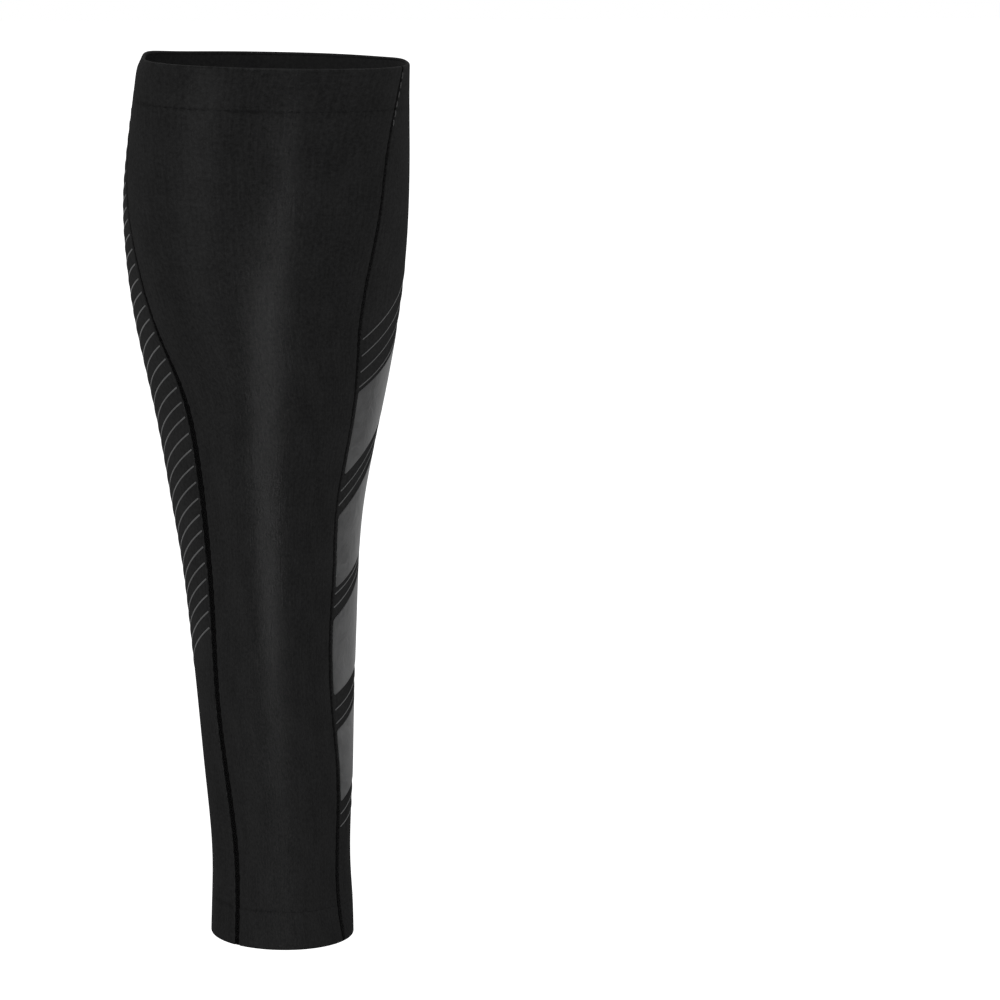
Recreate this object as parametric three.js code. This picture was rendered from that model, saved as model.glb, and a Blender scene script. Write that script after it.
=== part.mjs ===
// Calf compression sleeve: an open knitted tube in the shape that it takes on a leg.
// A front panel and a back panel meet at two flat seams, each end is turned in as a hem,
// and four thin films are bonded across the right side of the back panel.
// Millimetres, +Z up. The shin faces -Y, and left and right are as seen from in front of it,
// with right at +X. The origin is on the sleeve's middle line, at the calf's widest level.
import * as THREE from 'three';

// Driving sizes of the worn sleeve
const LENGTH = 360;
const CALF_WIDTH = 116.2;
const CALF_DEPTH = 118;
const ANKLE_WIDTH = 57.2;
const ANKLE_DEPTH = 68;
const TOP_DROP = 2.5; // how far the top edge falls from its left side to its right side
const BOTTOM_DROP = 1.2;

// Cloth, seams, hems and films
const WALL = 1.2;
const CLEARANCE = 0.3;
const SEAM_WIDTH = 2.2;
const SEAM_RECESS = 0.2;
const HEM_THICKNESS = 1.0;
const TOP_HEM_DEPTH = 17;
const BOTTOM_HEM_DEPTH = 16;
const FILM_THICKNESS = 0.3;
const FILM_GAP = 0.15; // between a film and the cloth's outer face
const FILM_MARGIN = 0.7; // bare cloth between a film and the right seam
const FILM_TURN = 86; // degrees round the leg that a film covers

// Cross-sections from the top edge to the bottom edge. at is the height, a share of LENGTH. width
// and depth go from 0 at the ankle size to 1 at the calf size. side and back shift the section's
// centre, as shares of CALF_WIDTH and CALF_DEPTH. round is the section's roundness, 2 for an
// ellipse. left and right are the two seams' places in degrees round from the shin.
const SECTIONS = [
  { at: 1, width: 0.895, depth: 0.8, side: 0.0315, back: -0.021, round: 2.3, left: -94, right: 66.5 },
  { at: 0.955, width: 0.932, depth: 0.88, side: 0.02, back: -0.014, round: 2.29, left: -87, right: 58.7 },
  { at: 0.91, width: 0.97, depth: 0.94, side: 0.011, back: -0.007, round: 2.27, left: -80, right: 53 },
  { at: 0.842, width: 1, depth: 1, side: 0, back: 0, round: 2.25, left: -71, right: 49 },
  { at: 0.774, width: 0.959, depth: 0.99, side: -0.003, back: 0.004, round: 2.23, left: -61.8, right: 43.6 },
  { at: 0.705, width: 0.851, depth: 0.9, side: -0.003, back: 0.003, round: 2.21, left: -52.2, right: 41 },
  { at: 0.637, width: 0.69, depth: 0.74, side: 0, back: -0.009, round: 2.19, left: -41.5, right: 42.3 },
  { at: 0.568, width: 0.514, depth: 0.57, side: -0.001, back: -0.024, round: 2.17, left: -37.6, right: 41.5 },
  { at: 0.499, width: 0.364, depth: 0.42, side: -0.003, back: -0.04, round: 2.15, left: -36.6, right: 39.6 },
  { at: 0.431, width: 0.258, depth: 0.3, side: 0.004, back: -0.054, round: 2.13, left: -38, right: 40.1 },
  { at: 0.362, width: 0.192, depth: 0.21, side: 0.012, back: -0.066, round: 2.11, left: -40.3, right: 38 },
  { at: 0.27, width: 0.12, depth: 0.11, side: 0.021, back: -0.08, round: 2.08, left: -42.6, right: 41 },
  { at: 0.177, width: 0.053, depth: 0.04, side: 0.03, back: -0.089, round: 2.05, left: -38.5, right: 48.6 },
  { at: 0.084, width: 0, depth: 0, side: 0.037, back: -0.093, round: 2.03, left: -35, right: 48 },
  { at: 0.037, width: 0.02, depth: 0.01, side: 0.0395, back: -0.092, round: 2.01, left: -35.4, right: 49.3 },
  { at: 0, width: 0.032, depth: 0.024, side: 0.039, back: -0.09, round: 2, left: -35.5, right: 55.5 },
];
const ORIGIN_HEIGHT = SECTIONS.find((row) => row.width === 1).at;

// Films from the calf down to the ankle. low and high are where the film's two long edges start
// at the right seam, as shares of LENGTH. lowClimb and highClimb are how far each edge rises for
// a millimetre round the leg.
const FILMS = [
  { name: 'film_patch_1', low: 0.540, high: 0.635, lowClimb: 0.67, highClimb: 0.50 },
  { name: 'film_patch_2', low: 0.4115, high: 0.493, lowClimb: 0.45, highClimb: 0.76 },
  { name: 'film_patch_3', low: 0.288, high: 0.375, lowClimb: 0.38, highClimb: 0.62 },
  { name: 'film_patch_4', low: 0.1625, high: 0.2465, lowClimb: 0.38, highClimb: 0.43 },
];

// How finely each piece is faceted
const BODY_STEPS = 30;
const HEM_STEPS = 2;
const FRONT_STEPS = 18;
const BACK_STEPS = 30;
const FILM_STEPS_ROUND = 18;
const FILM_STEPS_UP = 5;

// The sections' columns, smoothly joined along the sleeve's length
const COLUMNS = ['width', 'depth', 'side', 'back', 'round', 'left', 'right'];
const upward = [...SECTIONS].reverse();
const alongLength = new THREE.CubicInterpolant(
  upward.map((row) => row.at),
  upward.flatMap((row) => COLUMNS.map((name) => row[name])),
  COLUMNS.length,
);

function sectionAt(height) {
  const [width, depth, side, back, round, left, right] = alongLength.evaluate(height);
  return {
    halfWidth: THREE.MathUtils.lerp(ANKLE_WIDTH, CALF_WIDTH, width) / 2,
    halfDepth: THREE.MathUtils.lerp(ANKLE_DEPTH, CALF_DEPTH, depth) / 2,
    centreX: side * CALF_WIDTH,
    centreY: back * CALF_DEPTH,
    round,
    left,
    right,
  };
}

// A point of the sleeve: angle in degrees round from the shin, height as a share of LENGTH, and
// outset in millimetres out from the cloth's outer face
function sleevePoint(angle, height, outset) {
  const section = sectionAt(height);
  const turn = THREE.MathUtils.degToRad(angle);
  const wide = Math.abs(Math.sin(turn)) / (section.halfWidth + outset);
  const deep = Math.abs(Math.cos(turn)) / (section.halfDepth + outset);
  const radius = (wide ** section.round + deep ** section.round) ** (-1 / section.round);
  const x = radius * Math.sin(turn);
  const drop = THREE.MathUtils.lerp(BOTTOM_DROP, TOP_DROP, height) * x / (2 * section.halfWidth);
  return new THREE.Vector3(
    section.centreX + x,
    section.centreY - radius * Math.cos(turn),
    (height - ORIGIN_HEIGHT) * LENGTH - drop,
  );
}

function meanRadius(height) {
  const section = sectionAt(height);
  return (section.halfWidth + section.halfDepth) / 2;
}

// The angle in degrees that a length along the cloth takes at a height
function arcAngle(length, height) {
  return THREE.MathUtils.radToDeg(length / meanRadius(height));
}

// A closed sheet of cloth or film. pointAt(across, up, face) gives a point of its outer face, 0,
// or its inner face, 1. A looped sheet goes all the way round and has no side edges.
function sheet(acrossShares, upShares, pointAt, looped = false) {
  const columns = acrossShares.length;
  const rows = upShares.length;
  const positions = [];
  for (const face of [0, 1]) {
    for (const up of upShares) {
      for (const across of acrossShares) {
        positions.push(...pointAt(across, up, face));
      }
    }
  }
  const vertex = (column, row, face) => (face * rows + row) * columns + (column % columns);
  const triangles = [];
  const quad = (a, b, c, d) => triangles.push(a, b, c, a, c, d);
  const spans = looped ? columns : columns - 1;
  for (let column = 0; column < spans; column += 1) {
    const next = column + 1;
    for (let row = 0; row < rows - 1; row += 1) {
      const above = row + 1;
      quad(vertex(column, row, 0), vertex(next, row, 0), vertex(next, above, 0), vertex(column, above, 0));
      quad(vertex(next, row, 1), vertex(column, row, 1), vertex(column, above, 1), vertex(next, above, 1));
    }
    const top = rows - 1;
    quad(vertex(next, 0, 0), vertex(column, 0, 0), vertex(column, 0, 1), vertex(next, 0, 1));
    quad(vertex(column, top, 0), vertex(next, top, 0), vertex(next, top, 1), vertex(column, top, 1));
  }
  if (!looped) {
    const last = columns - 1;
    for (let row = 0; row < rows - 1; row += 1) {
      const above = row + 1;
      quad(vertex(0, row, 1), vertex(0, row, 0), vertex(0, above, 0), vertex(0, above, 1));
      quad(vertex(last, row, 0), vertex(last, row, 1), vertex(last, above, 1), vertex(last, above, 0));
    }
  }
  const geometry = new THREE.BufferGeometry();
  geometry.setAttribute('position', new THREE.Float32BufferAttribute(positions, 3));
  geometry.setIndex(triangles);
  geometry.computeVertexNormals();
  return geometry;
}

function evenShares(steps, from = 0, to = 1) {
  return Array.from({ length: steps + 1 }, (_, step) => THREE.MathUtils.lerp(from, to, step / steps));
}

function piece(name, geometry, material) {
  const mesh = new THREE.Mesh(geometry, material);
  mesh.name = name;
  return mesh;
}

// Heights shared by every piece that runs the whole length, so that facing facets stay parallel
const bottomHemTop = BOTTOM_HEM_DEPTH / LENGTH;
const topHemBottom = 1 - TOP_HEM_DEPTH / LENGTH;
const bottomHemHeights = evenShares(HEM_STEPS, 0, bottomHemTop);
const topHemHeights = evenShares(HEM_STEPS, topHemBottom, 1);
const sleeveHeights = [
  ...bottomHemHeights,
  ...evenShares(BODY_STEPS, bottomHemTop, topHemBottom).slice(1, -1),
  ...topHemHeights,
];

// The slot between the two panels, which holds a seam
const HALF_SLOT = SEAM_WIDTH / 2 + CLEARANCE;

// The angle at a share of the way round a panel, from the left seam over the shin to the right
// seam on the front panel, and from the right seam round the calf to the left seam on the back
function frontAngle(share, height) {
  const { left, right } = sectionAt(height);
  const slot = arcAngle(HALF_SLOT, height);
  return THREE.MathUtils.lerp(left + slot, right - slot, share);
}

function backAngle(share, height) {
  const { left, right } = sectionAt(height);
  const slot = arcAngle(HALF_SLOT, height);
  return THREE.MathUtils.lerp(right + slot, left + 360 - slot, share);
}

function panel(name, steps, angleAt, material) {
  const cloth = sheet(evenShares(steps), sleeveHeights, (share, height, face) => (
    sleevePoint(angleAt(share, height), height, -face * WALL)
  ));
  return piece(name, cloth, material);
}

// A flat seam: a ribbon of butted and overstitched cloth, a little below the panels' outer face
function seam(name, side, material) {
  const edges = [-SEAM_WIDTH / 2, SEAM_WIDTH / 2];
  const ribbon = sheet(edges, sleeveHeights, (offset, height, face) => (
    sleevePoint(sectionAt(height)[side] + arcAngle(offset, height), height, face ? -WALL : -SEAM_RECESS)
  ));
  return piece(name, ribbon, material);
}

// A hem: the turned-in end of the tube, a ring inside both panels and both seams
function hem(name, heights, material) {
  const round = [
    ...evenShares(FRONT_STEPS).map((share) => ({ angleAt: frontAngle, share })),
    ...evenShares(BACK_STEPS).map((share) => ({ angleAt: backAngle, share })),
  ];
  const outset = -WALL - CLEARANCE;
  const ring = sheet(round, heights, (place, height, face) => (
    sleevePoint(place.angleAt(place.share, height), height, outset - face * HEM_THICKNESS)
  ), true);
  return piece(name, ring, material);
}

// A film: its near end keeps a margin from the right seam, its two long edges climb round the
// back of the leg, and its far end runs parallel to the seam
function film(row, material) {
  const place = (share, up, face) => {
    const start = THREE.MathUtils.lerp(row.low, row.high, up);
    const climb = THREE.MathUtils.lerp(row.lowClimb, row.highClimb, up);
    const turned = arcAngle(HALF_SLOT + FILM_MARGIN, start) + share * FILM_TURN;
    const rise = climb * meanRadius(start) * THREE.MathUtils.degToRad(turned);
    const angle = sectionAt(start).right + turned;
    return sleevePoint(angle, start + rise / LENGTH, FILM_GAP + (1 - face) * FILM_THICKNESS);
  };
  return piece(row.name, sheet(evenShares(FILM_STEPS_ROUND), evenShares(FILM_STEPS_UP), place), material);
}

function finish(name, color, roughness) {
  return new THREE.MeshStandardMaterial({ name, color, roughness, metalness: 0 });
}

const knit = finish('knit', 0x1f1f20, 0.85);
const seamThread = finish('seam', 0x101011, 0.9);
const hemKnit = finish('hem', 0x1b1b1c, 0.88);
const greyFilm = finish('film', 0x55565a, 0.5);

const sleeve = new THREE.Group();
sleeve.name = 'calf_sleeve';
sleeve.add(
  panel('front_panel', FRONT_STEPS, frontAngle, knit),
  panel('back_panel', BACK_STEPS, backAngle, knit),
  seam('left_seam', 'left', seamThread),
  seam('right_seam', 'right', seamThread),
  hem('top_hem', topHemHeights, hemKnit),
  hem('bottom_hem', bottomHemHeights, hemKnit),
  ...FILMS.map((row) => film(row, greyFilm)),
);

export default sleeve;
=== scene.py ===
# Calf compression sleeve, dressed: knitted panels, flat seams, turned-in hems, bonded grey films
# and fine raised lines. Sizes are in millimetres and become metres when a mesh is made. Angles
# are in degrees round the leg from the shin, growing towards the side with the films.
import math

import bpy
import numpy as np
from mathutils import Matrix, Vector, noise


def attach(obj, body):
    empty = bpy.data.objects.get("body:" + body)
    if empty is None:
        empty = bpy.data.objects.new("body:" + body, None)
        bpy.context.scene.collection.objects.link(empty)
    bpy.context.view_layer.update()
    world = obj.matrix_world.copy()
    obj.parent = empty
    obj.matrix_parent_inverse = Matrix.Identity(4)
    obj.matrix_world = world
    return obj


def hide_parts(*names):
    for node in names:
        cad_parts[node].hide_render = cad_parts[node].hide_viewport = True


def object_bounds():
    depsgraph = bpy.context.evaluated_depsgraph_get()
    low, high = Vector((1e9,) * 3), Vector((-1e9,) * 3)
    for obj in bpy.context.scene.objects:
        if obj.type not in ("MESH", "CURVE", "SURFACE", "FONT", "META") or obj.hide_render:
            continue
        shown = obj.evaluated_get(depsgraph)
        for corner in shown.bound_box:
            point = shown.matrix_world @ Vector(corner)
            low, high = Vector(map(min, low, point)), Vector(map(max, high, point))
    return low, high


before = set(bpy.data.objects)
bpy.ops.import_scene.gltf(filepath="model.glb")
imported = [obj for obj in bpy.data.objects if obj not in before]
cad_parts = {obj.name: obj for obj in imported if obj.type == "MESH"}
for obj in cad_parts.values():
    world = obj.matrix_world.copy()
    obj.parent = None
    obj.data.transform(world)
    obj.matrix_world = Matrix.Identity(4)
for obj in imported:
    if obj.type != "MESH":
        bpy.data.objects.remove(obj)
cad_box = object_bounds()


# Front panel
# A warp-knitted piece of black nylon and elastane that covers the shin. It is cut to shape, butted
# to the back panel along both sides, and stretched smooth by the leg inside it. At each end of the
# tube its cloth is folded in over itself, which gives the soft round rims.
MM = 0.001
LENGTH = 360.0
CALF_WIDTH, CALF_DEPTH = 116.2, 118.0
ANKLE_WIDTH, ANKLE_DEPTH = 57.2, 68.0
# How far each rim drops from its left side to its right one
TOP_DROP, BOTTOM_DROP = 2.5, 1.2
# The fold at the rims: radius of its outer and inner face, and how far its end runs back
FOLD_RADIUS, FOLD_INNER_RADIUS = 0.85, 0.05
FOLD_TAIL, FOLD_TAIL_EDGE = 0.4, 0.05
FOLD_STEPS = 10
# How far from the rims the hems' stitches run
TOP_STITCH_DEPTH, BOTTOM_STITCH_DEPTH = 17.0, 16.0
TOP_STITCH_AT, BOTTOM_STITCH_AT = 1 - TOP_STITCH_DEPTH / LENGTH, BOTTOM_STITCH_DEPTH / LENGTH
# Where along the length the calf is widest, which is where the frame has its origin
ORIGIN_SHARE = 0.842

# at: share of the length. width, depth: 0 at the ankle size, 1 at the calf size. side, back: the
# section's shift as shares of the calf size. round: 2 for an ellipse. left, right: the seams.
SECTIONS = np.array([
    # at,   width, depth, side,   back,   round, left,  right
    [0.000, 0.032, 0.024, 0.0390, -0.090, 2.00, -35.5, 55.5],
    [0.037, 0.020, 0.010, 0.0395, -0.092, 2.01, -35.4, 49.3],
    [0.084, 0.000, 0.000, 0.0370, -0.093, 2.03, -35.0, 48.0],
    [0.177, 0.053, 0.040, 0.0300, -0.089, 2.05, -38.5, 48.6],
    [0.270, 0.120, 0.110, 0.0210, -0.080, 2.08, -42.6, 41.0],
    [0.362, 0.192, 0.210, 0.0120, -0.066, 2.11, -40.3, 38.0],
    [0.431, 0.258, 0.300, 0.0040, -0.054, 2.13, -38.0, 40.1],
    [0.499, 0.364, 0.420, -0.0030, -0.040, 2.15, -36.6, 39.6],
    [0.568, 0.514, 0.570, -0.0010, -0.024, 2.17, -37.6, 41.5],
    [0.637, 0.690, 0.740, 0.0000, -0.009, 2.19, -41.5, 42.3],
    [0.705, 0.851, 0.900, -0.0030, 0.003, 2.21, -52.2, 41.0],
    [0.774, 0.959, 0.990, -0.0030, 0.004, 2.23, -61.8, 43.6],
    [0.842, 1.000, 1.000, 0.0000, 0.000, 2.25, -71.0, 49.0],
    [0.910, 0.970, 0.940, 0.0110, -0.007, 2.27, -80.0, 53.0],
    [0.955, 0.932, 0.880, 0.0200, -0.014, 2.29, -87.0, 58.7],
    [1.000, 0.895, 0.800, 0.0315, -0.021, 2.30, -94.0, 66.5],
])


def curvatures(at, values):
    """Second derivatives of the smoothest curve through the section table's columns."""
    gaps = np.diff(at)
    count = len(at)
    system = np.eye(count)
    wanted = np.zeros_like(values)
    slopes = np.diff(values, axis=0) / gaps[:, None]
    for row in range(1, count - 1):
        system[row, row - 1] = gaps[row - 1]
        system[row, row] = 2 * (gaps[row - 1] + gaps[row])
        system[row, row + 1] = gaps[row]
        wanted[row] = 6 * (slopes[row] - slopes[row - 1])
    return np.linalg.solve(system, wanted)


SECTION_AT = SECTIONS[:, 0]
SECTION_VALUES = SECTIONS[:, 1:]
SECTION_BENDS = curvatures(SECTION_AT, SECTION_VALUES)


def section(share):
    """Half width, half depth, centre x, centre y, roundness, left seam and right seam at a share."""
    share = np.clip(np.asarray(share, float), 0, 1)
    row = np.clip(np.searchsorted(SECTION_AT, share) - 1, 0, len(SECTION_AT) - 2)
    gap = SECTION_AT[row + 1] - SECTION_AT[row]
    above = (share - SECTION_AT[row]) / gap
    below = 1 - above
    bend = ((below ** 3 - below)[..., None] * SECTION_BENDS[row]
            + (above ** 3 - above)[..., None] * SECTION_BENDS[row + 1]) * (gap ** 2 / 6)[..., None]
    column = (below[..., None] * SECTION_VALUES[row]
              + above[..., None] * SECTION_VALUES[row + 1] + bend)
    half_width = (ANKLE_WIDTH + (CALF_WIDTH - ANKLE_WIDTH) * column[..., 0]) / 2
    half_depth = (ANKLE_DEPTH + (CALF_DEPTH - ANKLE_DEPTH) * column[..., 1]) / 2
    return (half_width, half_depth, column[..., 2] * CALF_WIDTH, column[..., 3] * CALF_DEPTH,
            column[..., 4], column[..., 5], column[..., 6])


# The top rim rises a little towards the hollow of the knee, and leans in at the left.
# About and spread are in degrees round the leg, height and depth in millimetres.
RIM_RISES = [(251.0, 22.0, 1.4), (111.0, 14.0, 0.45)]
RIM_RISE_DEPTH = 9.0
RIM_LEANS = [(268.0, 24.0, 1.5)]
RIM_LEAN_DEPTH = 3.2


def rim_bumps(bumps, depth, angle, share):
    below_rim = (1 - np.asarray(share)) * LENGTH
    total = 0.0
    for about, spread, height in bumps:
        away = (angle - about + 180) % 360 - 180
        total = total + height * np.exp(-(away / spread) ** 2 - (below_rim / depth) ** 2)
    return total


def worn_point(angle, share, outset, lift=0.0):
    """A point of the worn sleeve: outset is out from the cloth's face, lift is straight up."""
    half_width, half_depth, centre_x, centre_y, roundness, _, _ = section(share)
    outset = outset - rim_bumps(RIM_LEANS, RIM_LEAN_DEPTH, angle, share)
    lift = lift + rim_bumps(RIM_RISES, RIM_RISE_DEPTH, angle, share)
    turn = np.radians(angle)
    wide = np.abs(np.sin(turn)) / (half_width + outset)
    deep = np.abs(np.cos(turn)) / (half_depth + outset)
    radius = (wide ** roundness + deep ** roundness) ** (-1 / roundness)
    x = radius * np.sin(turn)
    drop = (BOTTOM_DROP + (TOP_DROP - BOTTOM_DROP) * share) * x / (2 * half_width)
    z = (share - ORIGIN_SHARE) * LENGTH - drop + lift
    return np.stack(np.broadcast_arrays(centre_x + x, centre_y - radius * np.cos(turn), z), axis=-1)


def mean_radius(share):
    half_width, half_depth = section(share)[:2]
    return (half_width + half_depth) / 2


def arc_angle(length, share):
    """Degrees round the leg that a length along the cloth takes."""
    return np.degrees(length / mean_radius(share))


def soft_noise(points, size, seed):
    """Smooth noise from -1 to 1 at points in millimetres, with lumps of about the given size."""
    places = points.reshape(-1, 3) / size + seed
    values = [noise.noise(place) for place in places.tolist()]
    return np.array(values).reshape(points.shape[:-1])


SWELL_SIZE, SWELL_HEIGHT, SWELL_SEED = 46.0, 0.16, 3.1
SEAM_PUCKER_SIZE, SEAM_PUCKER_HEIGHT, SEAM_PUCKER_REACH, SEAM_PUCKER_SEED = 5.2, 0.17, 4.2, 7.7
HEM_PUCKER_SIZE, HEM_PUCKER_REACH, HEM_PUCKER_SEED = 4.0, 3.0, 1.3
# Puckers are drawn out away from their stitches, so distance from them counts for less
SEAM_PUCKER_DRAWN_OUT, HEM_PUCKER_DRAWN_OUT = 0.45, 0.35
# Moves the noise on by this much a degree, so that the two seams don't pucker alike
PUCKER_SHIFT = 0.01
STITCH_GROOVE_WIDTH = 0.9
# How hard the hem stitches pull: the least, the change, and its length in millimetres
PULL_LEAST, PULL_CHANGE, PULL_LENGTH, PULL_SEED = 0.6, 0.7, 10.4, 4.6
# Width and mean strength of the shade painted into the knit along the hems' stitches
PAINTED_SHADE_WIDTH, PAINTED_SHADE_MEAN = 0.8, 0.5
# strength, length and seed of the changes in the painted shade's darkness
PAINTED_SHADE_CHANGES = [(1.5, 16.0, 4.6), (0.7, 2.4, 9.2)]
# Height of the puckers, depth of the groove and darkness of the painted shade at each hem's stitches
TOP_HEM_PUCKER, TOP_STITCH_GROOVE, TOP_PAINTED_SHADE = 0.2, 0.11, 0.8
BOTTOM_HEM_PUCKER, BOTTOM_STITCH_GROOVE, BOTTOM_PAINTED_SHADE = 0.1, 0.09, 0.4

# Half the gap between the panels in millimetres, at shares of the length
SLOT_AT = [0.0, 0.16, 0.22, 0.60, 0.70, 1.0]
LEFT_SLOT = [1.1, 1.4, 1.4, 1.4, 0.95, 0.75]
RIGHT_SLOT = [1.15, 1.05, 0.5, 0.3, 0.7, 0.72]
# height as a share of the gap, radians over the sleeve's length, and phase
SLOT_WAVES = [(0.1, 420, 0), (0.08, 690, 2)]


def half_slot(side, share):
    """The gap waves a little, as the stitches draw the cloth in unevenly."""
    wave = 1
    for height, radians, phase in SLOT_WAVES:
        wave = wave + height * np.sin(share * radians + phase)
    return np.interp(share, SLOT_AT, LEFT_SLOT if side == "left" else RIGHT_SLOT) * wave


def seam_distances(angle, share):
    """Millimetres round the leg from the left seam's middle and from the right seam's middle."""
    left, right = section(share)[5:]
    per_degree = np.radians(1) * mean_radius(share)
    to_left = np.abs((angle - left + 180) % 360 - 180) * per_degree
    to_right = np.abs((angle - right + 180) % 360 - 180) * per_degree
    return to_left, to_right


def relief(angle, share):
    """How far the cloth stands out from the smooth form: slow swells, puckers and stitch grooves."""
    angle, share = np.broadcast_arrays(np.asarray(angle, float), np.asarray(share, float))
    place = worn_point(angle, share, 0.0)
    height = SWELL_HEIGHT * soft_noise(place, SWELL_SIZE, SWELL_SEED)
    to_left, to_right = seam_distances(angle, share)
    to_seam = np.minimum(to_left, to_right)
    along = np.stack([share * LENGTH, to_seam * SEAM_PUCKER_DRAWN_OUT, angle * PUCKER_SHIFT], axis=-1)
    pucker = soft_noise(along, SEAM_PUCKER_SIZE, SEAM_PUCKER_SEED)
    near_seam = np.exp(-to_left / SEAM_PUCKER_REACH) + np.exp(-to_right / SEAM_PUCKER_REACH)
    height = height + SEAM_PUCKER_HEIGHT * near_seam * pucker
    for stitch_at, pucker_height, groove in (
            (TOP_STITCH_AT, TOP_HEM_PUCKER, TOP_STITCH_GROOVE),
            (BOTTOM_STITCH_AT, BOTTOM_HEM_PUCKER, BOTTOM_STITCH_GROOVE)):
        away = (share - stitch_at) * LENGTH
        round_leg = np.stack([np.radians(angle) * mean_radius(share), away * HEM_PUCKER_DRAWN_OUT,
                              away * 0], axis=-1)
        gather = soft_noise(round_leg, HEM_PUCKER_SIZE, HEM_PUCKER_SEED)
        height = height + pucker_height * gather * np.exp(-np.abs(away) / HEM_PUCKER_REACH)
        pull = PULL_LEAST + PULL_CHANGE * soft_noise(round_leg, PULL_LENGTH, PULL_SEED)
        height = height - groove * pull * np.exp(-(away / STITCH_GROOVE_WIDTH) ** 2)
    return height


def painted_stitch_shade(angle, share):
    """From 0 to 1: how much shade is painted into the knit's colour along the hems' stitches, where
    they draw the cloth into a groove.
    """
    angle, share = np.broadcast_arrays(np.asarray(angle, float), np.asarray(share, float))
    total = np.zeros(angle.shape)
    for stitch_at, strength in ((TOP_STITCH_AT, TOP_PAINTED_SHADE), (BOTTOM_STITCH_AT, BOTTOM_PAINTED_SHADE)):
        away = (share - stitch_at) * LENGTH
        round_leg = np.stack([np.radians(angle) * mean_radius(share), away * 0, away * 0], axis=-1)
        uneven = PAINTED_SHADE_MEAN
        for change, size, seed in PAINTED_SHADE_CHANGES:
            uneven = uneven + change * soft_noise(round_leg, size, seed)
        uneven = np.clip(uneven, 0, 1)
        total = total + strength * uneven * np.exp(-(away / PAINTED_SHADE_WIDTH) ** 2)
    return total


def make_mesh(name, points, faces, material, weave_and_painted_shade=None):
    """A smooth-shaded object from millimetre points, its origin at the frame's origin."""
    mesh = bpy.data.meshes.new(name)
    points = np.asarray(points, float).reshape(-1, 3)
    faces = np.asarray(faces, int)
    sides = faces.shape[1]
    mesh.vertices.add(len(points))
    mesh.vertices.foreach_set("co", (points * MM).ravel())
    mesh.loops.add(faces.size)
    mesh.loops.foreach_set("vertex_index", faces.ravel())
    mesh.polygons.add(len(faces))
    mesh.polygons.foreach_set("loop_start", np.arange(0, faces.size, sides))
    mesh.polygons.foreach_set("use_smooth", np.ones(len(faces), bool))
    mesh.update(calc_edges=True)
    mesh.validate()
    if weave_and_painted_shade is not None:
        # The place in the knit in millimetres, round the leg and up it, and the shade painted there
        # at the hems' stitches
        grid = mesh.attributes.new("weave_and_painted_shade", "FLOAT_VECTOR", "POINT")
        grid.data.foreach_set("vector", np.asarray(weave_and_painted_shade, float).ravel())
    mesh.materials.append(material)
    piece = bpy.data.objects.new(name, mesh)
    bpy.context.scene.collection.objects.link(piece)
    return piece


def sheet_faces(rows, columns, looped=False):
    """Quads of a closed sheet with an outer and an inner grid of rows by columns."""
    grid = np.arange(2 * rows * columns).reshape(2, rows, columns)
    if looped:
        grid = np.concatenate([grid, grid[:, :, :1]], axis=2)
    outer, inner = grid

    def quads(a, b, c, d):
        return np.stack([a.ravel(), b.ravel(), c.ravel(), d.ravel()], axis=1)

    faces = [
        quads(outer[:-1, :-1], outer[:-1, 1:], outer[1:, 1:], outer[1:, :-1]),
        quads(inner[:-1, 1:], inner[:-1, :-1], inner[1:, :-1], inner[1:, 1:]),
        quads(outer[0, 1:], outer[0, :-1], inner[0, :-1], inner[0, 1:]),
        quads(outer[-1, :-1], outer[-1, 1:], inner[-1, 1:], inner[-1, :-1]),
    ]
    if not looped:
        faces.append(quads(inner[:-1, 0], outer[:-1, 0], outer[1:, 0], inner[1:, 0]))
        faces.append(quads(outer[:-1, -1], inner[:-1, -1], inner[1:, -1], outer[1:, -1]))
    return np.concatenate(faces)


def folded_rows(step):
    """Rows of a sheet up the whole sleeve: share, degrees round a rim's fold, and lift."""
    fold_share = FOLD_RADIUS / LENGTH
    body = np.linspace(fold_share, 1 - fold_share, int(LENGTH / step) + 1)
    turns = np.linspace(180 / FOLD_STEPS, 180, FOLD_STEPS)
    bottom = [(fold_share, turn, 0.0) for turn in turns[::-1]]
    top = [(1 - fold_share, turn, 0.0) for turn in turns]
    tails = (FOLD_TAIL, FOLD_TAIL - FOLD_TAIL_EDGE)
    tail_low = [(fold_share, 180.0, tail) for tail in tails]
    tail_high = [(1 - fold_share, 180.0, -tail) for tail in tails[::-1]]
    return np.array(tail_low + bottom + [(share, 0.0, 0.0) for share in body] + top + tail_high)


def folded_point(angle, row, sunk, face):
    """A point of cloth that turns in over the rims. sunk is how far its outer face lies below."""
    share, turn, lift = row
    turn = np.radians(turn)
    radius = (FOLD_RADIUS - sunk) * (1 - face) + FOLD_INNER_RADIUS * face
    outset = radius * np.cos(turn) - FOLD_RADIUS
    upward = 1 if share > 0.5 else -1
    return worn_point(angle, share, outset, upward * radius * math.sin(turn) + lift)


# How wide the panel's long edges roll, and how deep they sink to the seams
EDGE_ROLL, EDGE_SINK = 0.8, 0.5
# Millimetres between rows, and rows added on both sides of the hems' stitches
ROW_STEP = 1.65
ROWS_AT_STITCHES = (-1.1, -0.6, -0.25, 0.25, 0.6, 1.1)
# Columns over the rolled edge, as shares of its width, and how the others crowd towards it
EDGE_COLUMNS = np.array([0.0, 0.12, 0.3, 0.6, 1.0])
EDGE_CROWDING = 0.11
# The even columns begin this many edge widths from the edge
EDGE_CLEAR = 1.6
# Just under 1, so that the rolled edge doesn't end in an upright wall
EDGE_ROUND = 0.98
# The seams sink by this share of their depth up to the first distance from the rim, and fully
# from the second one on
RIM_SINK, RIM_SINK_FROM, RIM_SINK_TO = 0.3, 1.4, 8.4


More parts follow.
